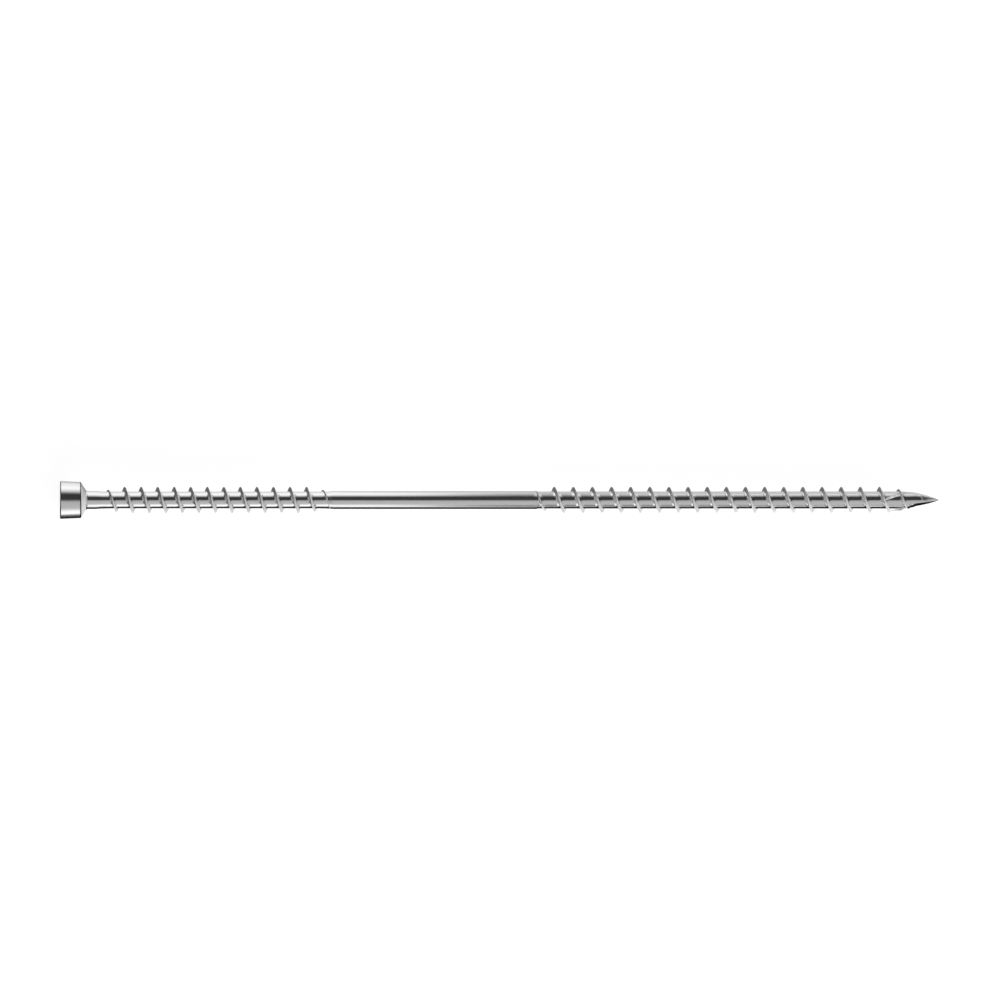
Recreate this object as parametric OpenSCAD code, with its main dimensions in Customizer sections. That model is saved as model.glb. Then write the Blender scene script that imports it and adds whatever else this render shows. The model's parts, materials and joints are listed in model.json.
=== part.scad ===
// Double thread insulation screw: a long wood screw with a cylinder head, a coarse
// thread close under the head, a plain shank and a second coarse thread up to the point.
// The two pitches differ, so the screw holds two timbers at a fixed distance.
// Its axis is X, with the head's top face at zero and the point at the far end. The whole
// is then tipped a little about Y, because it lies on the head's rim and on its last crests.

/* [Head] */
// Diameter of the head at its top face
head_d = 11.5; // [10.5:0.1:13]
// How much narrower the head is at its lower rim, on the diameter
head_taper = 0.5; // [0.2:0.1:1]
// Length of the head's side
head_h = 6.5; // [6:0.1:10]
// Radius of the head's two rounded rims
rim_r = 0.3; // [0.1:0.05:0.5]
// Angle between the axis and the cone under the head
cone_angle = 60; // [45:1:75]

/* [Drive socket] */
// Distance across the socket's six lobes
socket_d = 6.75; // [5.6:0.05:7.5]
// Depth of the socket's straight walls
socket_depth = 4.2; // [3:0.1:5]
// Depth of the shallow cone in the socket's floor
socket_floor_h = 0.8; // [0.3:0.1:1]

/* [Shank] */
// Diameter of the plain shank and of the neck below the head
shank_d = 5.5; // [5.3:0.05:6.2]
// Length of the plain neck between the head's cone and its blend to the thread
neck_l = 2.6; // [1:0.1:10]
// Length over which the neck narrows to the core of the first thread
neck_blend_l = 2.4; // [1.5:0.1:4]
// Length over which that core widens to the shank
shank_blend_l = 1.6; // [1:0.1:4]
// Length of the plain shank between the two threads
shank_l = 62.2; // [20:0.2:160]

/* [Threads] */
// Outer diameter of both threads
thread_d = 8; // [7.4:0.1:9]
// Width of the flat on a ridge's crest
crest_w = 0.12; // [0.1:0.02:0.4]
// Slope of each side of a ridge, from upright
flank_angle = 14; // [10:1:25]
// Core diameter of the thread near the head
head_core_d = 5.1; // [4.8:0.05:5.2]
// Length of the core of the thread near the head
head_thread_l = 68.6; // [40:0.2:120]
// Pitch of the thread near the head
head_pitch = 5.045; // [4:0.005:6.5]
// Angle round the axis at which the thread near the head begins
head_thread_angle = 177; // [0:1:359]
// Core diameter of the thread near the point
tip_core_d = 5.2; // [4.8:0.05:5.2]
// Length of the thread near the point, up to where the point narrows
tip_thread_l = 111.3; // [60:0.1:180]
// Pitch of the thread near the point
tip_pitch = 5.835; // [4.5:0.005:7]
// Angle round the axis at which the thread near the point begins
tip_thread_angle = 307.5; // [0:0.5:359.5]

/* [Point] */
// Length over which the core narrows to the point
point_l = 11.2; // [8:0.1:18]
// Diameter of the blunt end of the point
point_end_d = 0.3; // [0.2:0.05:0.6]
// Distance of the point's flat side from the axis, as a share of the point's radius
point_flat = 0.66; // [0.6:0.01:0.9]
// Angle round the axis that the point's flat side faces
point_flat_angle = 165; // [0:1:359]
// Number of cutting ribs round the core, just above the point
rib_count = 3; // [2:1:4]
// Length of a cutting rib along the axis
rib_l = 6.8; // [4:0.1:9]
// Height of a cutting rib over the core
rib_h = 0.75; // [0.3:0.05:1]
// Width of a cutting rib at the core
rib_w = 1.1; // [0.6:0.1:1.6]
// Angle that a cutting rib turns round the axis, against the thread
rib_turn = 54; // [20:1:80]
// Angle round the axis at which the first cutting rib begins
rib_angle = 87; // [0:1:359]

/* [Hidden] */
$fn = 64;

// Facets round a threaded length, and steps round a rim, a lobe and a waist of the socket
thread_sides = 24;
rim_steps = 4;
lobe_steps = 10;
waist_steps = 6;
// Steps along a cutting rib
rib_steps = 8;
// Angle between the lowest line of the turned surfaces and their seam
seam_angle = 2;
// Depth by which one length of the screw is sunk into the next, so that they join
sink = 0.1;
// Depth by which a threaded core reaches into the plain length beside it
core_in = 0.5;
// Width of the small fillet on each side of a ridge's foot
foot_w = 0.05;

head_r = head_d / 2;
head_low_r = head_r - head_taper / 2;
shank_r = shank_d / 2;
thread_r = thread_d / 2;
head_core_r = head_core_d / 2;
tip_core_r = tip_core_d / 2;

// Places along the axis, from the head's top face
neck_x = head_h + (head_low_r - shank_r) / tan(cone_angle);
neck_blend_x = neck_x + neck_l;
head_core_x = neck_blend_x + neck_blend_l;
shank_blend_x = head_core_x + head_thread_l;
shank_x = shank_blend_x + shank_blend_l;
shank_end_x = shank_x + shank_l;
point_x = shank_end_x + tip_thread_l;
screw_l = point_x + point_l;

// Each ridge begins a little before its core shows, and rises and fades over some turns.
// The last turns near the point fade by a power, low for most of their length
head_ridge_in = 1;
head_ridge_x = head_core_x - head_ridge_in;
head_rise = 1.3;
head_fade = 1.3;
tip_ridge_in = 1.4416;
tip_ridge_x = shank_end_x - tip_ridge_in;
tip_rise = 1.1;
tip_fade = 2.4;
tip_fade_power = 2.5;

// A six-lobed socket keeps its shape at any size: a lobe's radius and the distance across
// the waists are fixed shares of the distance across the lobes, and a waist is an arc that
// touches the lobes on its two sides
lobe_count = 6;
lobe_turn = 360 / lobe_count;
lobe_r = 0.083 * socket_d;
lobe_at = socket_d / 2 - lobe_r;
waist_d = 0.7185 * socket_d;
waist_r = (pow(lobe_r, 2) - pow(waist_d / 2, 2) - pow(lobe_at, 2)
           + lobe_at * waist_d * cos(lobe_turn / 2))
    / (waist_d - 2 * lobe_at * cos(lobe_turn / 2) - 2 * lobe_r);
waist_at = waist_d / 2 + waist_r;
// Radius of the small end of the cone in the socket's floor
socket_floor_r = 0.2;

// The flat side of the point begins and deepens over these shares of the point's length
flat_from = 0.2;
flat_over = 0.2;

// The cutting ribs run on a little past the place where the point begins to narrow. They
// rise and fade over shares of their length, and their feet are sunk below the core
rib_past = 1.5;
rib_x = point_x + rib_past - rib_l;
rib_rise = 0.15;
rib_fade = 0.3;
rib_foot = 0.3;

// Turns that a ridge makes before the end of its length
function whole_turns(ridge_x, end_x, pitch) = floor((end_x - crest_w - foot_w - ridge_x) / pitch);

// The screw lies on the head's rim and on the last full crest straight below the axis
below_angle = 270;
below_turn = (below_angle - tip_thread_angle) / 360;
full_turns = whole_turns(tip_ridge_x, screw_l, tip_pitch) - tip_fade;
rest_x = tip_ridge_x + tip_pitch * (floor(full_turns - below_turn) + below_turn);
rest_tilt = asin((head_r - thread_r) / rest_x);

// A value's share of a limit, kept from 0 to 1
function share(value, limit) = max(0, min(1, value / limit));

// Points on an arc about a centre, between two angles
function arc(centre, r, from, to, steps) =
    [for (i = [0:steps])
        let (a = from + (to - from) * i / steps)
        centre + r * [cos(a), sin(a)]];

// A point at a place along the axis, at a radius and an angle round the axis
function around(x, r, angle) = [x, r * cos(angle), r * sin(angle)];

// Radius of the point, a parabola from the full core down to its blunt end
function point_r(x) =
    point_end_d / 2 + (tip_core_r - point_end_d / 2) * (1 - pow(share(x - point_x, point_l), 2));

// Radius of the core near the point, with the point's flat side cut away
tip_core = function(x, angle)
    let (depth = 1 - (1 - point_flat) * share(x - point_x - flat_from * point_l, flat_over * point_l),
         facing = cos(angle - point_flat_angle))
    point_r(x) * (facing > depth ? depth / facing : 1);

// Radius of the core near the head, the same all along and all round
head_core = function(x, angle) head_core_r;

// Length of a blend between the shank and the first core that runs on to just under the core
function blend_reach(blend_l) = blend_l * (shank_r - head_core_r + sink) / (shank_r - head_core_r);

// A rounded rim of the head, as a quarter circle that ends or begins at radius r and place x
function rim(x, r, from) = arc([r - rim_r, x], rim_r, from, from + 90, rim_steps);

// Turns an outline of radius and place round the axis of the screw. The seam lies a little
// beside the line that the head rests on
module lathe() {
    rotate([0, 90, 0]) rotate(seam_angle) rotate_extrude() children();
}

// Head, its cone, the neck and the start of its blend to the thread's core
module head_and_neck() {
    end_x = neck_blend_x + blend_reach(neck_blend_l);
    lathe() polygon(concat(
        [[0, 0]],
        rim(rim_r, head_r, -90),
        rim(head_h - rim_r, head_low_r, 0),
        [[shank_r, neck_x], [shank_r, neck_blend_x], [head_core_r - sink, end_x], [0, end_x]]));
}

// Plain shank, with the blend from the first thread's core at its start
module shank() {
    start_x = shank_x - blend_reach(shank_blend_l);
    lathe() polygon([
        [0, start_x], [head_core_r - sink, start_x],
        [shank_r, shank_x], [shank_r, shank_end_x], [0, shank_end_x]]);
}

// Outline of the drive socket: round lobes, joined by waists that bulge inwards
module socket_outline() {
    // Direction from a lobe's centre to the place where it meets the waist beside it
    side = atan2(waist_at * sin(lobe_turn / 2), waist_at * cos(lobe_turn / 2) - lobe_at);
    polygon([for (i = [0:lobe_count - 1])
        let (lobe = lobe_turn * i,
             waist = lobe + lobe_turn / 2,
             hollow = arc(lobe_at * [cos(lobe), sin(lobe)], lobe_r,
                          lobe - side, lobe + side, lobe_steps),
             bulge = arc(waist_at * [cos(waist), sin(waist)], waist_r,
                         lobe + side + 180, lobe + lobe_turn - side + 180, waist_steps))
        each concat(hollow, [for (k = [1:waist_steps - 1]) bulge[k]])]);
}

// Drive socket in the head's top face, with a shallow cone for its floor
module drive_socket() {
    rotate([0, 90, 0]) {
        translate([0, 0, -head_h])
            linear_extrude(height = head_h + socket_depth)
                socket_outline();
        translate([0, 0, socket_depth - sink])
            cylinder(h = socket_floor_h + sink, r1 = waist_d / 2 - sink, r2 = socket_floor_r);
    }
}

// A threaded length: its core and its ridge as one closed surface. The points stand in
// columns along the axis, one for each angle round it. A column crosses the ridge once a
// turn, and the ridge lies further along from column to column, so the last column meets
// the first one a whole turn later. Between two crossings a column has points on the core,
// as many as lands says, and after the last crossing as many as tail says.
module threaded_length(core, from_x, to_x, end_r, ridge_x, pitch, angle,
                       rise, fade, power, lands, tail) {
    turns = whole_turns(ridge_x, to_x, pitch);
    per_turn = 4 + lands;
    rows = turns * per_turn - lands;
    last = rows + tail + 1;
    sides = thread_sides;

    // Point of the ridge's section after some turns: its two feet, its crest and the land
    function section(turn, part, a) =
        let (full = thread_r - core(ridge_x, a),
             height = full * share(turn, rise) * pow(share(turns - turn, fade), power),
             foot = crest_w / 2 + foot_w + height * tan(flank_angle),
             x = ridge_x + pitch * turn + [-foot, -crest_w / 2, crest_w / 2, foot, pitch / 2][part])
        around(x, core(x, a) + (part == 1 || part == 2 ? height : 0), a);

    function column(j) =
        let (a = angle + 360 * j / sides,
             ridge = [for (i = [0:rows - 1])
                 section(floor(i / per_turn) + j / sides, i % per_turn, a)],
             ridge_end = ridge[rows - 1][0])
        concat(
            [around(from_x, core(from_x, a), a)],
            ridge,
            [for (i = [1:1:tail])
                let (x = ridge_end + (to_x - ridge_end) * i / (tail + 1))
                around(x, core(x, a), a)],
            [around(to_x, end_r, a)]);

    // Index of a point by its column and its place in the column
    function at(j, i) = j * (last + 1) + i;
    // Two triangles between neighbouring columns, which may be shifted along each other
    function facing(j, i, k, m) =
        [[at(j, i), at(j, i + 1), at(k, m + 1)], [at(j, i), at(k, m + 1), at(k, m)]];

    end = sides - 1;
    polyhedron(
        points = [for (j = [0:end]) each column(j)],
        faces = concat(
            [[for (j = [0:end]) at(j, 0)], [for (j = [end:-1:0]) at(j, last)]],
            [for (j = [0:end - 1], i = [0:last - 1]) each facing(j, i, j + 1, i)],
            [for (i = [0:per_turn]) [at(end, 0), at(0, i + 1), at(0, i)]],
            [[at(end, 0), at(end, 1), at(0, per_turn + 1)]],
            [for (i = [1:rows - 1 - per_turn]) each facing(end, i, 0, i + per_turn)],
            [for (i = [rows - per_turn:rows - 1]) [at(end, i), at(end, i + 1), at(0, rows)]],
            [for (i = [rows:last - 1]) each facing(end, i, 0, i)]),
        convexity = 10);
}

// A cutting rib: a three-sided ridge that turns round the core against the thread
module cutting_rib(angle) {
    function section(i) =
        let (x = rib_x + rib_l * i / rib_steps,
             a = angle - rib_turn * i / rib_steps,
             half = rib_w / 2 / point_r(x) * 180 / PI,
             rise = share(i, rib_rise * rib_steps),
             fade = share(rib_steps - i, rib_fade * rib_steps),
             low = point_r(x) - rib_foot,
             high = point_r(x) - sink + (rib_h + sink) * rise * fade)
        [around(x, low, a - half), around(x, high, a), around(x, low, a + half)];
    end = 3 * rib_steps;
    polyhedron(
        points = [for (i = [0:rib_steps]) each section(i)],
        faces = concat(
            [[0, 1, 2], [end + 2, end + 1, end]],
            [for (i = [0:rib_steps - 1], k = [0:2])
                let (a = 3 * i + k, b = 3 * i + (k + 1) % 3)
                each [[a, a + 3, b + 3], [a, b + 3, b]]]),
        convexity = 4);
}

// The whole screw in one piece of steel
module screw() {
    color("gainsboro") rotate([0, rest_tilt, 0]) difference() {
        union() {
            head_and_neck();
            threaded_length(head_core, head_ridge_x - core_in, shank_x + core_in, head_core_r,
                head_ridge_x, head_pitch, head_thread_angle, head_rise, head_fade,
                power = 1, lands = 0, tail = 0);
            shank();
            threaded_length(tip_core, tip_ridge_x - core_in, screw_l, point_end_d / 2,
                tip_ridge_x, tip_pitch, tip_thread_angle, tip_rise, tip_fade,
                power = tip_fade_power, lands = 1, tail = 2);
            for (i = [0:rib_count - 1]) cutting_rib(rib_angle + 360 * i / rib_count);
        }
        drive_socket();
    }
}

screw();
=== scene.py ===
"""Double thread insulation screw: its finished surfaces, its zinc finish and its studio.

The screw lies on the floor. Its own axis is tipped a little, down towards the point, because
it rests on the rim of its head and on the last full crest of its thread. Every surface is
first worked out along an untipped axis, in metres from the head's top face, and then tipped.
"""
import json
import math

import bpy
import numpy as np
from bpy.props import FloatProperty, FloatVectorProperty, IntProperty, PointerProperty
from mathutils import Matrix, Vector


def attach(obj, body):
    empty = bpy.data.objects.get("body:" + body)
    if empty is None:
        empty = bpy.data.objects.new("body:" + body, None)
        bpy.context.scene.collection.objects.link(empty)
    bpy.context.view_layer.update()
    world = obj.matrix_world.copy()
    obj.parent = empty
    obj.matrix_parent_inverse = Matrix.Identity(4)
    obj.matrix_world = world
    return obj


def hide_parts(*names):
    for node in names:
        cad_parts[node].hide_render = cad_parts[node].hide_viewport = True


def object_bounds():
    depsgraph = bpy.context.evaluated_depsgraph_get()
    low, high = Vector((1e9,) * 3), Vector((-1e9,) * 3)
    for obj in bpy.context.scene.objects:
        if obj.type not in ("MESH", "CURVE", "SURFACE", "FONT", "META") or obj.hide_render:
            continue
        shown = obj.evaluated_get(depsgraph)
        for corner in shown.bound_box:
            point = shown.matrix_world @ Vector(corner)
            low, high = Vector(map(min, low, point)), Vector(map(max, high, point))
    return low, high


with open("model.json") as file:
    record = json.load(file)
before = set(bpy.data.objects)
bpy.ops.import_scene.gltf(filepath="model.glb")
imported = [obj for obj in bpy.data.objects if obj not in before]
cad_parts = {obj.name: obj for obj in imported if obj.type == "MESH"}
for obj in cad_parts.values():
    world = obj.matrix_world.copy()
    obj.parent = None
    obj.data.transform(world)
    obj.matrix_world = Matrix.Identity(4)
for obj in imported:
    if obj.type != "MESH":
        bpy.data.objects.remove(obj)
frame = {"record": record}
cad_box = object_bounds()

bl_info = {
    "name": "Double Thread Screw",
    "version": (1, 0, 0),
    "blender": (4, 5, 0),
    "location": "3D View > Sidebar > Screw",
    "description": "Builds a double thread insulation screw with its zinc finish and its studio",
    "category": "Add Mesh",
}

MM = 0.001
TURN = 2 * math.pi
NODE = "screw"
BODY = "root"

# The photo is this many pixels wide and high, and one pixel is this long on the screw
PHOTO_PIXELS = 1000
PIXEL = 0.305 * MM
# Column of the head's top face and row of the axis, in the photo's pixels
HEAD_FACE_PX = 60.0
AXIS_PX = 500.0


def mount(name):
    """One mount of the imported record, by its name."""
    return next(m for m in frame["record"]["mounts"] if m["name"] == name)


def rest_tilt():
    """Angle by which the axis is tipped, from the outward normal of the head's face."""
    x, _, z = mount("head_face")["axis"]
    return math.atan2(z, -x)


def length(name, default_mm, description):
    """A length property, whose default is written in millimetres."""
    return FloatProperty(name=name, description=description, default=default_mm * MM,
                         min=0.0, precision=5, subtype="DISTANCE", unit="LENGTH")


def angle(name, default_deg, description):
    """An angle property, whose default is written in degrees."""
    return FloatProperty(name=name, description=description,
                         default=math.radians(default_deg), subtype="ANGLE", unit="ROTATION")


def factor(name, default, description, high=1.0):
    """A plain number property between nothing and a highest value."""
    return FloatProperty(name=name, description=description, default=default,
                         min=0.0, max=high, subtype="FACTOR")


def colour(name, default, description):
    """A colour property."""
    return FloatVectorProperty(name=name, description=description, default=default,
                               min=0.0, max=1.0, size=3, subtype="COLOR")


class ScrewSizes(bpy.types.PropertyGroup):
    """Sizes of the screw, the same as those of the solid."""
    head_d: length("Head diameter", 11.5, "Diameter of the head at its top face")
    head_taper: length("Head taper", 0.5, "How much narrower the head is at its lower rim")
    head_h: length("Head height", 6.5, "Length of the head's side")
    rim_r: length("Rim radius", 0.3, "Radius of the head's two rounded rims")
    cone_angle: angle("Cone angle", 60, "Angle between the axis and the cone under the head")
    socket_d: length("Socket width", 6.75, "Distance across the socket's six lobes")
    socket_depth: length("Socket depth", 4.2, "Depth of the socket's straight walls")
    socket_floor_h: length("Socket floor", 0.8, "Depth of the cone in the socket's floor")
    shank_d: length("Shank diameter", 5.5, "Diameter of the plain shank and the neck")
    neck_l: length("Neck length", 2.6, "Length of the plain neck under the head's cone")
    neck_blend_l: length("Neck blend", 2.4, "Length over which the neck narrows")
    shank_blend_l: length("Shank blend", 1.6, "Length over which the core widens to the shank")
    shank_l: length("Shank length", 62.2, "Length of the plain shank between the threads")
    thread_d: length("Thread diameter", 8.0, "Outer diameter of both threads")
    crest_w: length("Crest width", 0.12, "Width of the flat on a ridge's crest")
    flank_angle: angle("Flank angle", 14, "Slope of each side of a ridge, from upright")
    head_core_d: length("Head core", 5.1, "Core diameter of the thread near the head")
    head_thread_l: length("Head thread", 68.6, "Length of the thread near the head")
    head_pitch: length("Head pitch", 5.045, "Pitch of the thread near the head")
    head_thread_angle: angle("Head thread start", 177, "Angle at which that thread begins")
    tip_core_d: length("Tip core", 5.2, "Core diameter of the thread near the point")
    tip_thread_l: length("Tip thread", 111.3, "Length of the thread near the point")
    tip_pitch: length("Tip pitch", 5.835, "Pitch of the thread near the point")
    tip_thread_angle: angle("Tip thread start", 307.5, "Angle at which that thread begins")
    point_l: length("Point length", 11.2, "Length over which the core narrows to the point")
    point_end_d: length("Point end", 0.3, "Diameter of the blunt end of the point")
    point_flat: factor("Point flat", 0.66, "Flat side's distance from the axis, as a share")
    point_flat_angle: angle("Flat's direction", 165, "Angle that the flat side faces")
    rib_count: IntProperty(name="Ribs", description="Number of cutting ribs",
                           default=3, min=1, max=6)
    rib_l: length("Rib length", 6.8, "Length of a cutting rib along the axis")
    rib_h: length("Rib height", 0.75, "Height of a cutting rib over the core")
    rib_w: length("Rib width", 1.1, "Width of a cutting rib at the core")
    rib_turn: angle("Rib turn", 54, "Angle that a rib turns round the axis")
    rib_angle: angle("Rib start", 87, "Angle at which the first rib begins")


class ScrewFinish(bpy.types.PropertyGroup):
    """Colours and surface values of the zinc finish."""
    bright: colour("Bright zinc", (0.9, 0.9, 0.9), "Colour of clean zinc")
    dull: colour("Dull zinc", (0.82, 0.82, 0.82), "Colour of handled, mottled zinc")
    edge: colour("Edge tint", (0.4, 0.4, 0.4), "Tint of the zinc where it is seen edge on")
    # Colour of the dark reflection that is painted along the head's two edges
    line: colour("Edge lines", (0.0, 0.0, 0.0), "Colour of the lines along the head's two edges")
    roughness: factor("Roughness", 0.14, "Mean roughness of the zinc")
    mottle: factor("Mottle", 0.1, "How much the roughness varies from spot to spot")
    ridge_matte: factor("Ridge matte", 0.93, "How matte the rolled ridges are")
    ridge_roughness: factor("Ridge roughness", 0.45, "Roughness of the rolled ridges")
    ridge_tone: colour("Ridge tone", (0.62, 0.62, 0.62), "Colour of the rolled ridges")
    # How strongly the dark reflection is painted along the head's two edges
    painted_rim_reflection_depth: factor("Head edges", 0.85, "How dark the head's two edges are")
    ripple: factor("Ripple", 0.3, "Depth of the slight waves along the wire")


class ScrewStage(bpy.types.PropertyGroup):
    """Values of the floor, the softboxes, the lamps and the camera."""
    floor: colour("Floor", (0.3, 0.3, 0.3), "Colour of the floor")
    floor_lift: factor("Floor lift", 0.9, "Light of the floor's own, as the background", 2.0)
    softbox: factor("Softbox", 1.0, "Share of each softbox's own light", 5.0)
    softbox_y: length("Softbox distance", 340, "Distance of each softbox from the screw's axis")
    softbox_h: length("Softbox height", 450, "Height of each softbox")
    lamp: factor("Lamp", 10.0, "Strength of the lamp beside the point", 50.0)
    side_lamp: factor("Side lamp", 5.0, "Strength of the lamp beside the threads", 50.0)
    lamp_h: length("Lamp height", 200, "Height of both lamps")
    camera_h: length("Camera height", 800, "Height of the camera over the screw")


# How far each ridge starts before its core has its full depth
HEAD_RIDGE_IN = 1.0 * MM
TIP_RIDGE_IN = 1.4416 * MM


def places(s):
    """Places along the axis from the head's top face, by their names."""
    p = {"neck": s.head_h + (s.head_d - s.head_taper - s.shank_d) / 2 / math.tan(s.cone_angle)}
    p["neck_blend"] = p["neck"] + s.neck_l
    p["head_core"] = p["neck_blend"] + s.neck_blend_l
    p["shank_blend"] = p["head_core"] + s.head_thread_l
    p["shank"] = p["shank_blend"] + s.shank_blend_l
    p["shank_end"] = p["shank"] + s.shank_l
    p["point"] = p["shank_end"] + s.tip_thread_l
    p["end"] = p["point"] + s.point_l
    p["head_ridge"] = p["head_core"] - HEAD_RIDGE_IN
    p["tip_ridge"] = p["shank_end"] - TIP_RIDGE_IN
    return p


def share(value, limit):
    """A value's share of a limit, kept from 0 to 1."""
    return np.clip(value / limit, 0.0, 1.0)


def smooth(t):
    """A soft step: three t squared less two t cubed, for t from 0 to 1."""
    return t * t * (3 - 2 * t)


def around(x, r, a):
    """Points at a place along the tipped axis, at a radius and an angle round it.

    Untipped, a point is (x, r cos a, r sin a). The tip is a turn about Y that lowers +X.
    """
    x, r, a = np.broadcast_arrays(x, r, a)
    y, z = r * np.cos(a), r * np.sin(a)
    c, t = math.cos(rest_tilt()), math.sin(rest_tilt())
    return np.stack([c * x + t * z, y, c * z - t * x], axis=-1)


def new_piece(name, points, faces, material, sharp_deg=40):
    """A mesh object with its place in its mesh, smooth apart from its sharp edges."""
    mesh = bpy.data.meshes.new(name)
    mesh.from_pydata(points.reshape(-1, 3), [], faces)
    mesh.update()
    mesh.polygons.foreach_set("use_smooth", np.ones(len(mesh.polygons), dtype=bool))
    mesh.set_sharp_from_angle(angle=math.radians(sharp_deg))
    mesh.materials.append(material)
    piece = bpy.data.objects.new(name, mesh)
    bpy.context.scene.collection.objects.link(piece)
    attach(piece, BODY)
    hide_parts(NODE)
    return piece


# A ridge's section from its foot to its crest: share of the crest's half width, share of
# the flank's width, and share of the height, with a small fillet and a rounded crest
RIDGE_SIDE = np.array([
    (1.0, 1.0, 0.0),
    (1.0, 0.86, 0.03),
    (1.0, 0.74, 0.13),
    (1.0, 0.42, 0.5),
    (1.0, 0.1, 0.88),
    (0.86, 0.0, 0.975),
    (0.4, 0.0, 1.0),
])
RIDGE = np.concatenate([RIDGE_SIDE * (-1, -1, 1), RIDGE_SIDE[::-1]])
# Width that a ridge's flank has where the ridge has no height yet
FOOT_W = 0.1 * MM
# Least room between the last crest and the end of the thread
END_GAP = 0.1 * MM
# Turns after the ridge's start at which the core gives the ridge's full height
FULL_AT = 2
# Points of a column on the core: between two crossings, and before and after all of them
LANDS = 4
LEAD = 8
# Points of a column in one turn of the ridge
PER_TURN = len(RIDGE) + LANDS
# Number of columns round the axis
COLUMNS = 120


def threaded_rows(s, core, angles, start, end, ridge_x, last_x, pitch, rise, fade, bend):
    """Places and radii of a threaded length, in one column for each angle round the axis.

    The crest lies at ridge_x plus the pitch times the turns t, and stays short of last_x.
    Its height over the core is the full height, times t over rise and times the bend's power
    of the turns that are left over fade, each kept under 1. A column crosses the ridge once
    a turn. Between two crossings it has a few points on the core, and before the first and
    after the last one it has lead points, evenly spaced from start and to end.
    """
    turns = math.floor((last_x - s.crest_w - END_GAP - ridge_x) / pitch)
    j = np.arange(COLUMNS)[:, None]
    k = np.arange(turns)[None, :]
    t = k + j / COLUMNS
    a = angles[:, None]
    full = s.thread_d / 2 - core(np.full_like(t, ridge_x + FULL_AT * pitch), a)
    height = full * share(t, rise) * share(turns - t, fade) ** bend
    flank = height * math.tan(s.flank_angle) + FOOT_W
    crest = ridge_x + pitch * t
    x = crest[..., None] + RIDGE[:, 0] * s.crest_w / 2 + RIDGE[:, 1] * flank[..., None]
    lift = RIDGE[:, 2] * height[..., None]
    # Points on the core between this crossing and the next one
    foot = crest + s.crest_w / 2 + flank
    gap = pitch - s.crest_w - 2 * flank
    land_x = foot[..., None] + gap[..., None] * np.arange(1, LANDS + 1) / (LANDS + 1)
    # One row for each column, without the points on the core after its last crossing
    x = np.concatenate([x, land_x], axis=-1).reshape(COLUMNS, -1)[:, :-LANDS]
    lift = np.concatenate([lift, np.zeros_like(land_x)], axis=-1)
    lift = lift.reshape(COLUMNS, -1)[:, :-LANDS]
    steps = np.arange(LEAD + 2)[None, :] / (LEAD + 1)
    lead_x = start + (x[:, :1] - start) * steps[:, :-1]
    tail_x = x[:, -1:] + (end - x[:, -1:]) * steps[:, 1:]
    x = np.concatenate([lead_x, x, tail_x], axis=1)
    lift = np.pad(lift, ((0, 0), (LEAD + 1, LEAD + 1)))
    return x, core(x, a) + lift


def skin(rows, sheared):
    """Faces over columns of points: quads, with a seam that is shifted where it is threaded.

    rows is the number of points in a column, without the two poles. sheared lists the first
    and the last row of each threaded length. In one, the last column's row i meets the first
    column's row i plus PER_TURN, with a fan of triangles at each end. Two poles close it.
    """
    i = np.arange(rows - 1)[None, :]
    j = np.arange(COLUMNS - 1)[:, None]
    a = j * rows + i
    quads = np.stack([a, a + rows, a + rows + 1, a + 1], axis=-1).reshape(-1, 4)
    last = (COLUMNS - 1) * rows
    plain = np.ones(rows - 1, dtype=bool)
    extra = []
    triangles = []
    for first, end in sheared:
        # Rows of the ridge itself, without the lead points at either end
        low, high = first + LEAD + 1, end - LEAD - 1
        plain[low - 1:high + 1] = False
        m = np.arange(low, high - PER_TURN)
        extra.append(np.stack([last + m, m + PER_TURN, m + PER_TURN + 1, last + m + 1], axis=-1))
        m = np.arange(low - 1, low + PER_TURN)
        triangles.append(np.stack([np.full_like(m, last + low - 1), m, m + 1], axis=-1))
        triangles.append([[last + low - 1, low + PER_TURN, last + low]])
        m = np.arange(high - PER_TURN, high)
        triangles.append(np.stack([last + m, np.full_like(m, high), last + m + 1], axis=-1))
        plain[high] = True
    m = np.arange(rows - 1)[plain]
    seam = np.stack([last + m, m, m + 1, last + m + 1], axis=-1)
    quads = np.concatenate([quads, seam] + extra)
    j = np.arange(COLUMNS)
    after = (j + 1) % COLUMNS
    pole = COLUMNS * rows
    end = rows - 1
    caps = [np.stack([np.full_like(j, pole), after * rows, j * rows], axis=-1),
            np.stack([np.full_like(j, pole + 1), j * rows + end, after * rows + end], axis=-1)]
    triangles = np.concatenate([np.asarray(t) for t in triangles] + caps)
    return quads.tolist() + triangles.tolist()


# The socket's outline: a lobe's radius and the distance between two opposite waists, as
# shares of its width, and half the angle from one of the six lobes to the next one
LOBE_SHARE = 0.083
WAIST_SHARE = 0.7185
HALF_LOBE = math.radians(30)


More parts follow.
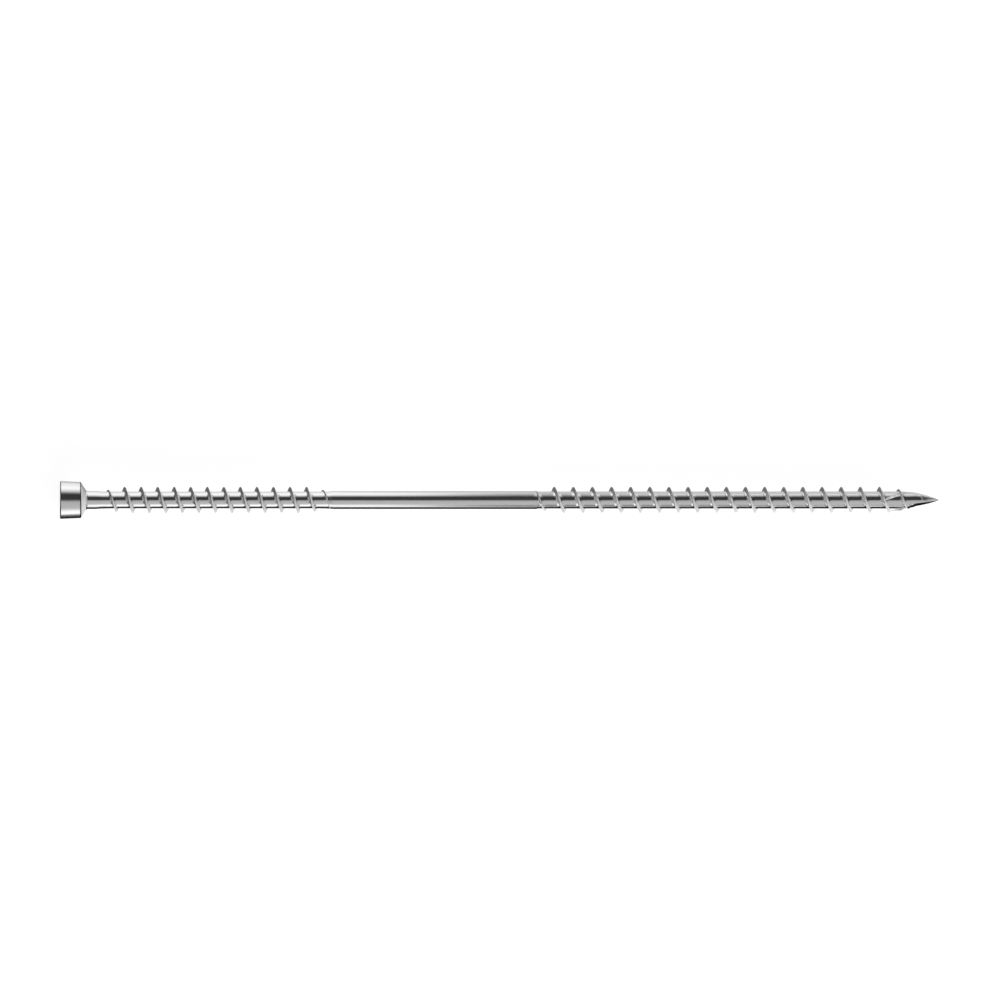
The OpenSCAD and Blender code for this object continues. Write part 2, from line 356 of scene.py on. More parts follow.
def socket_radius(s, a):
    """Distance of the six-lobed socket's wall from the axis, at an angle round it.

    A lobe is a circle whose centre lies on the lobe's line, and a waist is a circle outside
    the socket that touches the lobes beside it. The distance to either is that of the ray at
    this angle to the circle: d cos b, plus or less the root of r squared less d sin b squared.
    """
    lobe_r = LOBE_SHARE * s.socket_d
    across = WAIST_SHARE * s.socket_d
    lobe_at = s.socket_d / 2 - lobe_r
    cos, sin = math.cos(HALF_LOBE), math.sin(HALF_LOBE)
    waist_r = ((lobe_r ** 2 - across ** 2 / 4 - lobe_at ** 2 + lobe_at * across * cos)
               / (across - 2 * lobe_at * cos - 2 * lobe_r))
    waist_at = across / 2 + waist_r
    side = math.atan2(waist_at * sin, waist_at * cos - lobe_at)
    touch = math.atan2(lobe_r * math.sin(side), lobe_at + lobe_r * math.cos(side))
    b = np.abs((a + HALF_LOBE) % (2 * HALF_LOBE) - HALF_LOBE)
    g = HALF_LOBE - b
    lobe = np.sqrt(np.maximum(lobe_r ** 2 - (lobe_at * np.sin(b)) ** 2, 0))
    waist = np.sqrt(np.maximum(waist_r ** 2 - (waist_at * np.sin(g)) ** 2, 0))
    return np.where(b < touch, lobe_at * np.cos(b) + lobe, waist_at * np.cos(g) - waist)


def rim_rows(x, r, rim_r, start, steps=8):
    """A rounded rim: a quarter circle about (x, r), from an angle on, as places and radii."""
    a = start + np.linspace(0, math.pi / 2, steps + 1)
    return x - rim_r * np.cos(a), r + rim_r * np.sin(a)


# The socket's floor is a cone up to this share of the waist, and flat from there to this
# distance from the wall
CONE_SHARE = 0.94
FLOOR_GAP = 0.15 * MM
# Width and depth of the small slope round the socket's mouth
MOUTH_W = 0.12 * MM
MOUTH_DEPTH = 0.05 * MM
# Distance between the face's last ring and the rim's first one
FACE_GAP = 0.01 * MM
# How far the first thread's rows reach past the blend to the shank, and its ridge at most
HEAD_ROWS_OVER = 1.0 * MM
HEAD_RIDGE_OVER = 0.5 * MM
# How far these rows start before the neck's blend
HEAD_ROWS_BEFORE = 0.2 * MM


def upper_length(s, p, material):
    """Head with its socket, neck, first thread and shank, as one closed surface.

    It is a profile of place and radius, turned round the axis. In the socket, the radius
    follows the six-lobed outline. On the face it passes from that outline to a circle.
    """
    a = s.head_thread_angle + TURN * np.arange(COLUMNS) / COLUMNS
    wall = socket_radius(s, a)[:, None]
    cone_r = WAIST_SHARE * s.socket_d / 2 * CONE_SHARE
    head_r = s.head_d / 2
    low_r = head_r - s.head_taper / 2
    shank_r = s.shank_d / 2
    core_r = s.head_core_d / 2
    depth = s.socket_depth
    rows_x, rows_r = [], []

    def rings(x, r):
        """Adds rings, at places x with radii r, which may differ from column to column."""
        x, r = np.broadcast_arrays(np.atleast_2d(x), np.atleast_2d(r))
        rows_x.append(np.broadcast_to(x, (COLUMNS, x.shape[1])))
        rows_r.append(np.broadcast_to(r, (COLUMNS, r.shape[1])))

    # The socket: the cone in its floor, the floor, its rounded edge, the wall and the mouth
    t = np.linspace(0.1, 1.0, 6)
    rings(depth + s.socket_floor_h * (1 - t), cone_r * t)
    rings(depth, cone_r + (wall - FLOOR_GAP - cone_r) * np.array([[0.33, 0.66, 1.0]]))
    rings(depth - 0.05 * MM, wall - 0.04 * MM)
    rings(np.array([depth - 0.16 * MM, depth / 2, 0.3 * MM, 0.14 * MM, MOUTH_DEPTH]), wall)
    t = np.array([[0.35, 1.0]])
    rings(MOUTH_DEPTH * (1 - t), wall + MOUTH_W * t)
    # The face, the upper rim, the side, the lower rim and the cone
    t = np.linspace(0.15, 1.0, 6)[None, :]
    rings(0.0, (wall + MOUTH_W) * (1 - t) + (head_r - s.rim_r - FACE_GAP) * t)
    rings(*rim_rows(s.rim_r, head_r - s.rim_r, s.rim_r, 0.0))
    t = np.linspace(0.06, 0.94, 6)
    rings(s.rim_r + (s.head_h - 2 * s.rim_r) * t, head_r + (low_r - head_r) * t)
    rings(*rim_rows(s.head_h - s.rim_r, low_r - s.rim_r, s.rim_r, math.pi / 2))
    t = np.linspace(0.12, 0.9, 5)
    rings(s.head_h + (p["neck"] - s.head_h) * t,
          low_r - s.rim_r + (shank_r - low_r + s.rim_r) * t)
    # A small hollow where the cone meets the neck, and the neck
    rings(p["neck"] + np.array([0.0, 0.12, 0.5]) * MM, shank_r + np.array([0.12, 0.03, 0.0]) * MM)
    rings(p["neck"] + s.neck_l * np.array([0.4, 0.7]), shank_r)

    def core(x, _):
        """Radius of the core: a soft step down from the neck and up again to the shank."""
        down = smooth(share(x - p["neck_blend"], s.neck_blend_l))
        up = smooth(share(x - p["shank_blend"], s.shank_blend_l))
        return shank_r + (core_r - shank_r) * (down - up)

    before = sum(x.shape[1] for x in rows_x)
    thread_end = p["shank"] + HEAD_ROWS_OVER
    x, r = threaded_rows(s, core, a, start=p["neck_blend"] - HEAD_ROWS_BEFORE, end=thread_end,
                         ridge_x=p["head_ridge"], last_x=p["shank"] + HEAD_RIDGE_OVER,
                         pitch=s.head_pitch, rise=1.3, fade=1.3, bend=1.0)
    rings(x, r)
    after = sum(x.shape[1] for x in rows_x) - 1
    # The shank, and its end with a slight bevel
    rings(thread_end + (s.shank_l - HEAD_ROWS_OVER) * np.linspace(0.02, 0.98, 24), shank_r)
    bevel = np.array([0.08, 0.02, 0.0]) * MM
    rings(p["shank_end"] - bevel, shank_r - bevel[::-1])
    rings(p["shank_end"], np.array([0.8 * shank_r]))
    x, r = np.concatenate(rows_x, axis=1), np.concatenate(rows_r, axis=1)
    points = around(x, r, a[:, None]).reshape(-1, 3)
    poles = around(np.array([depth + s.socket_floor_h, p["shank_end"]]), 0.0, 0.0)
    faces = skin(x.shape[1], [(before, after)])
    return new_piece("upper_length", np.concatenate([points, poles]), faces, material)


def tip_core_radius(s, p, x):
    """Radius of the second thread's core and of the point, without the point's flat side.

    On the point it is a parabola of the place: the core's radius, less the difference to
    the blunt end's radius times the square of the share of the point's length.
    """
    end_r = s.point_end_d / 2
    return end_r + (s.tip_core_d / 2 - end_r) * (1 - share(x - p["point"], s.point_l) ** 2)


# The flat side begins at this share of the point's length, and has its full depth after as
# much again
FLAT_FROM = 0.2
# Least cosine by which the flat's distance is divided, away from the flat
LEAST_COS = 0.1
# How far the second thread's rows start before its ridge and end before the point's end
TIP_ROWS_BEFORE = 1.0 * MM
POINT_GAP = 0.05 * MM


def tip_length(s, p, material):
    """Second thread and the point, as one closed surface that starts inside the shank.

    One side of the point is flat: there the radius is kept under the flat's distance over
    the cosine of the angle from its normal.
    """
    a = s.tip_thread_angle + TURN * np.arange(COLUMNS) / COLUMNS

    def core(x, a):
        """Radius of the core at a place and an angle."""
        sunk = share(x - p["point"] - FLAT_FROM * s.point_l, FLAT_FROM * s.point_l)
        depth = 1 - (1 - s.point_flat) * sunk
        flat = depth / np.maximum(np.cos(a - s.point_flat_angle), LEAST_COS)
        return tip_core_radius(s, p, x) * np.minimum(1.0, flat)

    start = p["tip_ridge"] - TIP_ROWS_BEFORE
    x, r = threaded_rows(s, core, a, start=start, end=p["end"] - POINT_GAP,
                         ridge_x=p["tip_ridge"], last_x=p["end"],
                         pitch=s.tip_pitch, rise=1.1, fade=2.4, bend=2.5)
    points = around(x, r, a[:, None]).reshape(-1, 3)
    poles = around(np.array([start, p["end"]]), 0.0, 0.0)
    faces = skin(x.shape[1], [(0, x.shape[1] - 1)])
    return new_piece("tip_length", np.concatenate([points, poles]), faces, material)


# A rib's section: share of its half width and share of its height, with the feet in the core
RIB_SECTION = np.array([
    (-0.9, -0.5), (-1.0, 0.0), (-0.6, 0.34), (-0.25, 0.8), (-0.1, 0.97), (0.0, 1.0),
    (0.12, 0.95), (0.3, 0.7), (0.62, 0.3), (1.0, 0.0), (0.9, -0.5),
])
# Number of sections along a rib
RIB_ROWS = 28
# How far the ribs reach onto the point, and how deep they are sunk in the core
RIB_OVER = 1.5 * MM
RIB_SUNK = 0.1 * MM
# Shares of a rib's length: those over which it rises and falls, and the one by which it is
# already up at either end
RIB_RISE = 0.16
RIB_FALL = 0.3
RIB_LEAST = 0.01


def cutting_ribs(s, p, material):
    """Ribs round the core above the point, each a closed ridge that turns against the thread.

    Along a rib, the angle round the axis falls evenly by the rib's turn. Across it, the
    surface rises from below the core to a rounded crest and falls again, and the height
    rises fast at the end near the head and falls slowly towards the point.
    """
    across = len(RIB_SECTION)
    t = np.linspace(0, 1, RIB_ROWS)[:, None]
    x = p["point"] + RIB_OVER - s.rib_l * (1 - t)
    r = tip_core_radius(s, p, x)
    rise = smooth(share(t + RIB_LEAST, RIB_RISE))
    height = s.rib_h * rise * smooth(share(1 + RIB_LEAST - t, RIB_FALL))
    points, faces = [], []
    i = np.arange(RIB_ROWS - 1)[:, None]
    k = np.arange(across)[None, :]
    for rib in range(s.rib_count):
        a = s.rib_angle + TURN * rib / s.rib_count - s.rib_turn * t
        first = rib * (RIB_ROWS * across)
        points.append(around(x, r - RIB_SUNK + (height + RIB_SUNK) * RIB_SECTION[:, 1],
                             a + RIB_SECTION[:, 0] * s.rib_w / 2 / r).reshape(-1, 3))
        b = first + i * across + k
        c = first + i * across + (k + 1) % across
        faces += np.stack([b, c, c + across, b + across], axis=-1).reshape(-1, 4).tolist()
        faces.append(list(range(first + across - 1, first - 1, -1)))
        faces.append(list(range(first + (RIB_ROWS - 1) * across, first + RIB_ROWS * across)))
    return new_piece("cutting_ribs", np.concatenate(points), faces, material)


class NodeSet:
    """Adds shader nodes to a tree and links them, one short call each."""

    def __init__(self, tree):
        self.tree = tree

    def add(self, kind, inputs=None, **settings):
        """A node of a kind, with its settings and with its inputs set or linked."""
        node = self.tree.nodes.new(kind)
        for name, value in settings.items():
            setattr(node, name, value)
        for name, value in (inputs or {}).items():
            if isinstance(value, bpy.types.NodeSocket):
                self.tree.links.new(value, node.inputs[name])
            else:
                node.inputs[name].default_value = value
        return node

    def step(self, value, low, high):
        """0 up to one value and 1 from another one on, and evenly between the two."""
        return self.add("ShaderNodeMapRange", {"Value": value, "From Min": low,
                                               "From Max": high}).outputs[0]

    def band(self, value, low, high, soft):
        """1 between two values and 0 outside them, with soft steps inwards."""
        return self.math("MULTIPLY", self.step(value, low, low + soft),
                         self.step(value, high, high - soft))

    def noise(self, place, scale, detail, rough=0.5):
        """A cloudy pattern about a half, by its scale per metre."""
        return self.add("ShaderNodeTexNoise", {"Vector": place, "Scale": scale, "Detail": detail,
                                               "Roughness": rough}).outputs["Fac"]

    def tint(self, factor, a, b):
        """A colour between two, of which the second one is given by its parts."""
        return self.add("ShaderNodeMix", {"Factor": factor, 6: a, 7: (*b, 1.0)},
                        data_type="RGBA").outputs[2]

    def math(self, operation, a, b=0.0):
        """The result of one operation on one or two values."""
        return self.add("ShaderNodeMath", {0: a, 1: b}, operation=operation).outputs[0]

    def curve(self, value, stops):
        """A value turned into another, by stops of the two, with straight lines between."""
        low, high = stops[0][0], stops[-1][0]
        node = self.add("ShaderNodeValToRGB", {"Fac": self.step(value, low, high)})
        elements = node.color_ramp.elements
        # A new ramp has two stops, at its two ends, and keeps its stops in order
        for at, _ in stops[1:-1]:
            elements.new((at - low) / (high - low))
        for element, (_, result) in zip(elements, stops):
            element.color = (result, result, result, 1.0)
        return node.outputs["Color"]

    def turned(self, place):
        """Degrees from straight up, about the long axis, at which a place or direction lies."""
        part = self.add("ShaderNodeSeparateXYZ", {0: place}).outputs
        return self.math("DEGREES", self.math("ARCTAN2", part["Y"], part["Z"]))


# Heights over the core between which the ridges' matte sets in
MATTE_FROM, MATTE_FULL = 0.03 * MM, 0.08 * MM
# In the curve of the core's radius there is no core under the head, and its steps stand a
# little late: their delay and their length. The curve has about one value a millimetre
NO_CORE = 1.0
NECK_LATE, NECK_STEP = 0.5 * MM, 0.1 * MM
TIP_LATE, TIP_STEP = 1.1 * MM, 0.2 * MM
# The matte of the head's cone ends this far before the neck, and sets in over as much
CONE_GAP = 0.1 * MM
# The dark reflection lines painted along the head's two edges: their start, end and softness
# along the axis, from the face and from the lower rim, and the step from the flat face to
# them, from the side
FACE_PAINTED_LINE = (-1.0 * MM, 0.4 * MM, 0.15 * MM)
RIM_PAINTED_LINE = (-0.45 * MM, 0.0, 0.1 * MM)
PAINTED_LINE_OUT = (-0.5 * MM, -0.35 * MM)
# Waves and marks run along the screw, so their patterns are stretched along X
STRETCH = (0.12, 1.0, 1.0)
# Each pattern's scale per metre, its detail and, for the spots, its roughness
WAVES = (700.0, 2.0)
SPOTS = (900.0, 4.0, 0.6)
MARKS = (5200.0, 3.0)
# Values of the spots between which the roughness varies
SPOTS_LOW, SPOTS_HIGH = 0.3, 0.7
# Share of the marks in the height of the waves, and the height itself
MARKS_SHARE = 0.06
WAVE_H = 0.05 * MM


def zinc(s, f, name, matte):
    """Bright zinc plating: slight waves along the wire, mottled gloss and fine marks.

    The rolled ridges and the head's cone are duller than the wire. The ridges are what
    stands out past the core, whose radius is a curve of the place along the screw, and matte
    is the share of that dullness. Along the head's two edges a dark reflection is painted
    into the colour, as darker lines.
    """
    material = bpy.data.materials.new(name)
    material.use_nodes = True
    link = material.node_tree.links.new
    nodes = NodeSet(material.node_tree)
    shader = material.node_tree.nodes["Principled BSDF"].inputs
    shader["Specular Tint"].default_value = (*f.edge, 1.0)
    shader["Specular IOR Level"].default_value = 0.0
    place = nodes.add("ShaderNodeTexCoord").outputs["Object"]
    part = nodes.add("ShaderNodeSeparateXYZ", {0: place}).outputs
    x, y = part["X"], part["Y"]
    z = nodes.math("ADD", part["Z"], nodes.math("MULTIPLY", x, math.tan(rest_tilt())))
    squares = nodes.math("ADD", nodes.math("MULTIPLY", y, y), nodes.math("MULTIPLY", z, z))
    off_axis = nodes.math("SQRT", squares)
    p = places(s)
    shank_r, head_core_r, tip_core_r = s.shank_d / 2, s.head_core_d / 2, s.tip_core_d / 2
    core_r = nodes.curve(x, (
        (0.0, NO_CORE), (p["neck"] + NECK_LATE, NO_CORE),
        (p["neck"] + NECK_LATE + NECK_STEP, shank_r), (p["neck_blend"], shank_r),
        (p["head_core"], head_core_r), (p["shank_blend"], head_core_r), (p["shank"], shank_r),
        (p["shank_end"] + TIP_LATE, shank_r), (p["shank_end"] + TIP_LATE + TIP_STEP, tip_core_r),
        (p["end"], tip_core_r)))
    ridge = nodes.step(nodes.math("SUBTRACT", off_axis, core_r), MATTE_FROM, MATTE_FULL)
    cone = nodes.band(x, s.head_h, p["neck"] - CONE_GAP, CONE_GAP)
    ridge = nodes.math("MULTIPLY", nodes.math("MAXIMUM", ridge, cone), matte)
    # Painted dark reflection: the colour goes dark in bands at the head's face edge and lower
    # rim, on its outer side
    low, high, soft = RIM_PAINTED_LINE
    line = nodes.math("MAXIMUM", nodes.band(x, *FACE_PAINTED_LINE),
                      nodes.band(x, s.head_h + low, s.head_h + high, soft))
    side = nodes.step(off_axis, s.head_d / 2 + PAINTED_LINE_OUT[0], s.head_d / 2 + PAINTED_LINE_OUT[1])
    line = nodes.math("MULTIPLY", nodes.math("MULTIPLY", line, side), f.painted_rim_reflection_depth)
    link(nodes.math("SUBTRACT", 1.0, nodes.math("MULTIPLY", ridge, f.ridge_matte)),
         shader["Metallic"])
    along = nodes.add("ShaderNodeMapping", {"Vector": place, "Scale": STRETCH}).outputs[0]
    waves, marks = nodes.noise(along, *WAVES), nodes.noise(along, *MARKS)
    spots = nodes.noise(place, *SPOTS)
    gloss = nodes.add("ShaderNodeMapRange", {
        "Value": spots, "From Min": SPOTS_LOW, "From Max": SPOTS_HIGH,
        "To Min": f.roughness * (1 - f.mottle), "To Max": f.roughness * (1 + f.mottle)})
    gloss = nodes.add("ShaderNodeMapRange", {"Value": ridge, "To Min": gloss.outputs[0],
                                             "To Max": f.ridge_roughness})
    link(gloss.outputs[0], shader["Roughness"])
    tone = nodes.tint(spots, (*f.dull, 1.0), f.bright)
    # The painted dark reflection goes over the zinc's colour
    tone = nodes.tint(line, nodes.tint(ridge, tone, f.ridge_tone), f.line)
    link(tone, shader["Base Color"])
    height = nodes.math("ADD", waves, nodes.math("MULTIPLY", marks, MARKS_SHARE))
    bump = nodes.add("ShaderNodeBump", {"Height": height, "Strength": f.ripple,
                                        "Distance": WAVE_H})
    link(bump.outputs[0], shader["Normal"])
    return material


def seen_directly(nodes):
    """1 for the camera and for what is seen in or through the object, and 0 for the rest."""
    rays = nodes.add("ShaderNodeLightPath").outputs
    either = nodes.math("MAXIMUM", rays["Is Camera Ray"], rays["Is Glossy Ray"])
    return nodes.math("MAXIMUM", either, rays["Is Transmission Ray"])


def floor_paint(g):
    """Pale floor that keeps the screw's shadow and has a little light of its own."""
    material = bpy.data.materials.new("floor_paint")
    material.use_nodes = True
    nodes = NodeSet(material.node_tree)
    shader = material.node_tree.nodes["Principled BSDF"]
    shader.inputs["Base Color"].default_value = (*g.floor, 1.0)
    shader.inputs["Roughness"].default_value = 1.0
    shader.inputs["Specular IOR Level"].default_value = 0.0
    shader.inputs["Emission Color"].default_value = (1.0, 1.0, 1.0, 1.0)
    lift = nodes.math("MULTIPLY", seen_directly(nodes), g.floor_lift)
    material.node_tree.links.new(lift, shader.inputs["Emission Strength"])
    return material


# The studio's light by its angle from straight up, in degrees: above 0 it comes from the side
# that is up in the picture, and under 0 from the side that is down in it
STUDIO = ((-180, 0.35), (-100, 0.3), (-78, 0.2), (-62, 0.5), (-46, 0.53), (-19, 0.49),
          (-10, 0.42), (-4, 0.2), (2, 0.06), (8, 0.035), (45, 0.04), (60, 0.2), (75, 0.42),
          (92, 0.5), (180, 0.5))

# The next three go by a direction's X, from -1 behind the head to 1 past the point.
# Share of the studio's light that is there
SIDES = ((-1, 0.08), (-0.45, 0.1), (-0.25, 1.0), (0.4, 1.0), (0.6, 0.3), (1, 0.1))
# Light that is added past the point
END = ((-1, 0.0), (0.5, 0.0), (0.75, 0.8), (1, 0.9))
# Share of a plain grey in what the metal mirrors, so that neither end shows dark in it
ENDS_SEEN = ((-1, 1.0), (-0.5, 1.0), (-0.3, 0.0), (0.6, 0.0), (0.8, 1.0), (1, 1.0))
END_GREY = 0.45

# The softboxes: the side that each stands on, the strength of its own light, that light by
# the same angle and by the place along the screw, in metres from the head's top face, and
# the share of the studio's light that it shows, by the same place
SOFTBOXES = {
    "softbox_far": (
        1, 0.65, ((35, 0.0), (46, 0.35), (60, 0.87), (75, 1.05), (95, 1.0)),
        ((-0.35, 0.0), (-0.12, 0.0), (-0.06, 1.0), (0.112, 1.0), (0.135, 0.0), (0.16, 0.0),
         (0.19, 0.45), (0.23, 0.55), (0.33, 0.55), (0.38, 0.12), (0.6, 0.12)),
        ((-0.35, 0.08), (-0.14, 0.08), (-0.07, 1.0), (0.33, 1.0), (0.4, 0.35), (0.6, 0.35))),
    "softbox_near": (
        -1, 0.95, ((-95, 1.0), (-78, 1.0), (-70, 0.7), (-60, 0.2), (-50, 0.0)),
        ((-0.35, 0.0), (-0.12, 0.0), (-0.06, 1.0), (0.103, 1.0), (0.128, 0.03),
         (0.165, 0.03), (0.22, 0.2), (0.6, 0.25)),
        ((-0.35, 0.08), (-0.14, 0.08), (-0.07, 1.0), (0.6, 1.0))),
}

# The lamps, each by the two ends of its foot, and how far they stay off the floor
LAMPS = {
    "lamp": ((0.33, -0.33), (0.6, -0.22)),
    "side_lamp": ((0.0, -0.33), (0.27, -0.33)),
}
LAMP_GAP = 5.0 * MM

# The cards that lie beside the screw are seen only in the metal's reflections, where they paint
# the shade of the floor beside the screw: their ends along X, the length over which each begins
# and ends, and their light, which is that painted shade, by the place across the screw. They lie
# just off the floor
PAINTED_SHADE_CARDS = {
    "painted_shadow_card": ((-0.1, 0.35), 0.01,
                  ((-0.06, 0.95), (-0.045, 0.8), (-0.036, 0.42), (-0.022, 0.2),
                   (-0.015, 0.05), (-0.006, 0.02), (-0.002, 0.02))),
    "painted_shade_near_card": ((0.112, 0.24), 0.035, ((-0.32, 0.12), (-0.06, 0.12))),
    "painted_shade_grey_card": ((0.085, 0.35), 0.06,
                  ((0.006, 0.85), (0.014, 0.7), (0.03, 0.55), (0.08, 0.5), (0.13, 0.9))),
}
CARD_GAP = 0.1 * MM
# Light of the bare floor in what the metal mirrors, which the cards have at both ends
FLOOR_LIGHT = 1.0

# Half the floor's width, and how far the camera sees, in metres
FLOOR_HALF = 2.0
CAMERA_REACH = 10.0
# Share of the ridges' matte on the cutting ribs, whose cut edges are brighter
RIB_MATTE = 0.15


def studio_light():
    """World whose light depends on a direction's angle about the long axis, and on its side."""
    world = bpy.data.worlds.new("studio")
    world.use_nodes = True
    nodes = NodeSet(world.node_tree)
    towards = nodes.add("ShaderNodeTexCoord").outputs["Generated"]
    side = nodes.add("ShaderNodeSeparateXYZ", {0: towards}).outputs["X"]
    light = nodes.math("MULTIPLY", nodes.curve(nodes.turned(towards), STUDIO),
                       nodes.curve(side, SIDES))
    light = nodes.math("ADD", light, nodes.curve(side, END))
    rays = nodes.add("ShaderNodeLightPath").outputs
    seen = nodes.math("MULTIPLY", rays["Is Glossy Ray"], nodes.curve(side, ENDS_SEEN))
    light = nodes.add("ShaderNodeMix", {"Factor": seen, "A": light, "B": END_GREY}).outputs[0]
    # The camera sees it white, like the floor
    light = nodes.add("ShaderNodeMix", {"Factor": rays["Is Camera Ray"], "A": light,
                                        "B": 1.0}).outputs[0]
    world.node_tree.links.new(light, world.node_tree.nodes["Background"].inputs["Color"])
    bpy.context.scene.world = world


def glowing_sheet(name, corners, glow, hidden):
    """A flat sheet on the stage that gives light and is hidden from some kinds of ray.

    glow takes the material's nodes and gives the strength of the light.
    """
    material = bpy.data.materials.new(name)
    material.use_nodes = True
    material.node_tree.nodes.clear()
    nodes = NodeSet(material.node_tree)
    light = nodes.add("ShaderNodeEmission", {"Strength": glow(nodes)})
    nodes.add("ShaderNodeOutputMaterial", {"Surface": light.outputs[0]})
    mesh = bpy.data.meshes.new(name)
    mesh.from_pydata(corners, [], [(0, 1, 2, 3)])
    mesh.materials.append(material)
    sheet = bpy.data.objects.new(name, mesh)
    for ray in hidden:
        setattr(sheet, "visible_" + ray, False)
    bpy.context.scene.collection.objects.link(sheet)


def upright(ends, low, high):
    """Corners of an upright sheet, from the two ends of its foot and its two heights."""
    (x, y), (x2, y2) = ends
    return [(x, y, low), (x2, y2, low), (x2, y2, high), (x, y, high)]


def softbox(name, g, side, strength, by_angle, by_place, shown):
    """An upright glowing sheet beside the screw, which shows the studio's light and its own."""

    def glow(nodes):
        """The studio's light there, and the product of the softbox's own two curves."""
        place = nodes.add("ShaderNodeTexCoord").outputs["Object"]
        turned = nodes.turned(place)
        along = nodes.add("ShaderNodeSeparateXYZ", {0: place}).outputs["X"]
        own = nodes.math("MULTIPLY", nodes.curve(turned, by_angle), nodes.curve(along, by_place))
        own = nodes.math("MULTIPLY", own, strength * g.softbox)
        studio = nodes.math("MULTIPLY", nodes.curve(turned, STUDIO), nodes.curve(along, shown))
        return nodes.math("ADD", studio, own)

    low, y = cad_box[0][2], side * g.softbox_y
    ends = (by_place[0][0], y), (by_place[-1][0], y)
    glowing_sheet(name, upright(ends, low, low + g.softbox_h), glow, ("camera",))


def lamp(name, g, ends):
    """A low upright lamp, on the side that is down in the picture. The metal doesn't show it."""
    low = cad_box[0][2]
    glowing_sheet(name, upright(ends, low + LAMP_GAP, low + g.lamp_h),
                  lambda nodes: getattr(g, name), ("camera", "glossy"))


def card(name, ends, soft, stops):
    """A card on the floor beside the screw, which only shows in the edges of the zinc: it paints
    the floor's shade into their reflection.
    """

    def glow(nodes):
        """The card's painted shade by the place across the screw, and the floor's light at its
        two ends.
        """
        place = nodes.add("ShaderNodeTexCoord").outputs["Object"]
        part = nodes.add("ShaderNodeSeparateXYZ", {0: place}).outputs
        inside = nodes.band(part["X"], *ends, soft)
        return nodes.add("ShaderNodeMix", {"Factor": inside, "A": FLOOR_LIGHT,
                                           "B": nodes.curve(part["Y"], stops)}).outputs[0]

    (x, x2), y, y2, z = ends, stops[0][0], stops[-1][0], cad_box[0][2] + CARD_GAP
    corners = [(x, y, z), (x2, y, z), (x2, y2, z), (x, y2, z)]
    # Hidden from all rays but glossy ones, so it is only a painted shade in the zinc's
    # reflections
    glowing_sheet(name, corners, glow, ("camera", "diffuse", "shadow"))


class ScrewOperator:
    """What the screw's operators share."""
    bl_options = {"REGISTER", "UNDO"}

    @staticmethod
    def finish_material(context, name="bright_zinc", matte=1.0):
        """The zinc finish with a name, made once, with a share of the ridges' matte."""
        return bpy.data.materials.get(name) or zinc(
            context.scene.screw_sizes, context.scene.screw_finish, name, matte)


class SCREW_OT_upper_length(ScrewOperator, bpy.types.Operator):
    """Build the head, the neck, the first thread and the shank"""
    bl_idname = "screw_model.upper_length"
    bl_label = "Head, First Thread and Shank"

    def execute(self, context):
        s = context.scene.screw_sizes
        upper_length(s, places(s), self.finish_material(context))
        return {"FINISHED"}


class SCREW_OT_tip_length(ScrewOperator, bpy.types.Operator):
    """Build the second thread and the point"""
    bl_idname = "screw_model.tip_length"
    bl_label = "Second Thread and Point"

    def execute(self, context):
        s = context.scene.screw_sizes
        tip_length(s, places(s), self.finish_material(context))
        return {"FINISHED"}


class SCREW_OT_cutting_ribs(ScrewOperator, bpy.types.Operator):
    """Build the cutting ribs above the point"""
    bl_idname = "screw_model.cutting_ribs"
    bl_label = "Cutting Ribs"

    def execute(self, context):
        s = context.scene.screw_sizes
        cutting_ribs(s, places(s), self.finish_material(context, "rib_zinc", RIB_MATTE))
        return {"FINISHED"}


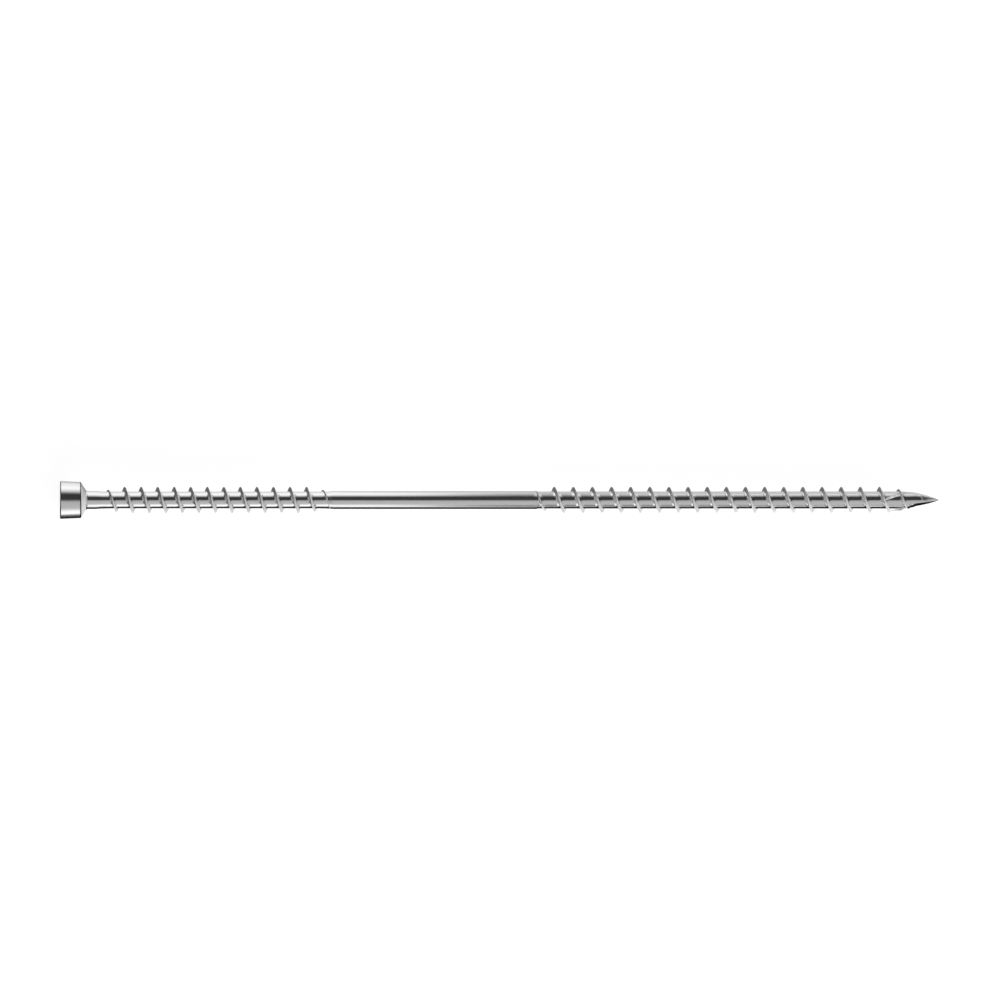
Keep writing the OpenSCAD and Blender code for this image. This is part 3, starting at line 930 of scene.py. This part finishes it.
class SCREW_OT_stage(bpy.types.Operator):
    """Set up the floor, the studio light and the camera"""
    bl_idname = "screw_model.stage"
    bl_label = "Stage"

    def execute(self, context):
        g = context.scene.screw_stage
        scene = context.scene
        scene.view_settings.view_transform = "Standard"
        low, half = cad_box[0][2], FLOOR_HALF
        mesh = bpy.data.meshes.new("floor")
        corners = [(-half, -half, low), (half, -half, low), (half, half, low), (-half, half, low)]
        mesh.from_pydata(corners, [], [(0, 1, 2, 3)])
        mesh.materials.append(floor_paint(g))
        floor = bpy.data.objects.new("floor", mesh)
        scene.collection.objects.link(floor)
        studio_light()
        for name, values in SOFTBOXES.items():
            softbox(name, g, *values)
        for name, ends in LAMPS.items():
            lamp(name, g, ends)
        # Cards that paint the floor's shade into the zinc's reflections
        for name, values in PAINTED_SHADE_CARDS.items():
            card(name, *values)
        view = bpy.data.cameras.new("camera")
        view.type = "ORTHO"
        view.ortho_scale = PHOTO_PIXELS * PIXEL
        view.clip_end = CAMERA_REACH
        camera = bpy.data.objects.new("camera", view)
        middle = (PHOTO_PIXELS / 2 - HEAD_FACE_PX) * PIXEL
        camera.location = (middle, (AXIS_PX - PHOTO_PIXELS / 2) * PIXEL, g.camera_h)
        scene.collection.objects.link(camera)
        scene.camera = camera
        return {"FINISHED"}


class SCREW_PT_panel(bpy.types.Panel):
    """Sidebar panel with the screw's sizes, finish and steps"""
    bl_idname = "SCREW_PT_panel"
    bl_label = "Double Thread Screw"
    bl_space_type = "VIEW_3D"
    bl_region_type = "UI"
    bl_category = "Screw"

    def draw(self, context):
        layout = self.layout
        for operator in OPERATORS:
            layout.operator(operator.bl_idname)
        for group in ("screw_sizes", "screw_finish", "screw_stage"):
            box = layout.box()
            values = getattr(context.scene, group)
            for name in values.__annotations__:
                box.prop(values, name)


OPERATORS = (SCREW_OT_upper_length, SCREW_OT_tip_length, SCREW_OT_cutting_ribs, SCREW_OT_stage)
CLASSES = (ScrewSizes, ScrewFinish, ScrewStage, *OPERATORS, SCREW_PT_panel)


def register():
    """Registers the classes and puts their values on the scene."""
    for cls in CLASSES:
        bpy.utils.register_class(cls)
    bpy.types.Scene.screw_sizes = PointerProperty(type=ScrewSizes)
    bpy.types.Scene.screw_finish = PointerProperty(type=ScrewFinish)
    bpy.types.Scene.screw_stage = PointerProperty(type=ScrewStage)


def unregister():
    """Takes the values off the scene and unregisters the classes."""
    for name in ("screw_stage", "screw_finish", "screw_sizes"):
        delattr(bpy.types.Scene, name)
    for cls in reversed(CLASSES):
        bpy.utils.unregister_class(cls)


def main():
    """Builds the screw and its stage."""
    register()
    bpy.ops.screw_model.upper_length()
    bpy.ops.screw_model.tip_length()
    bpy.ops.screw_model.cutting_ribs()
    bpy.ops.screw_model.stage()


if __name__ == "__main__":
    main()
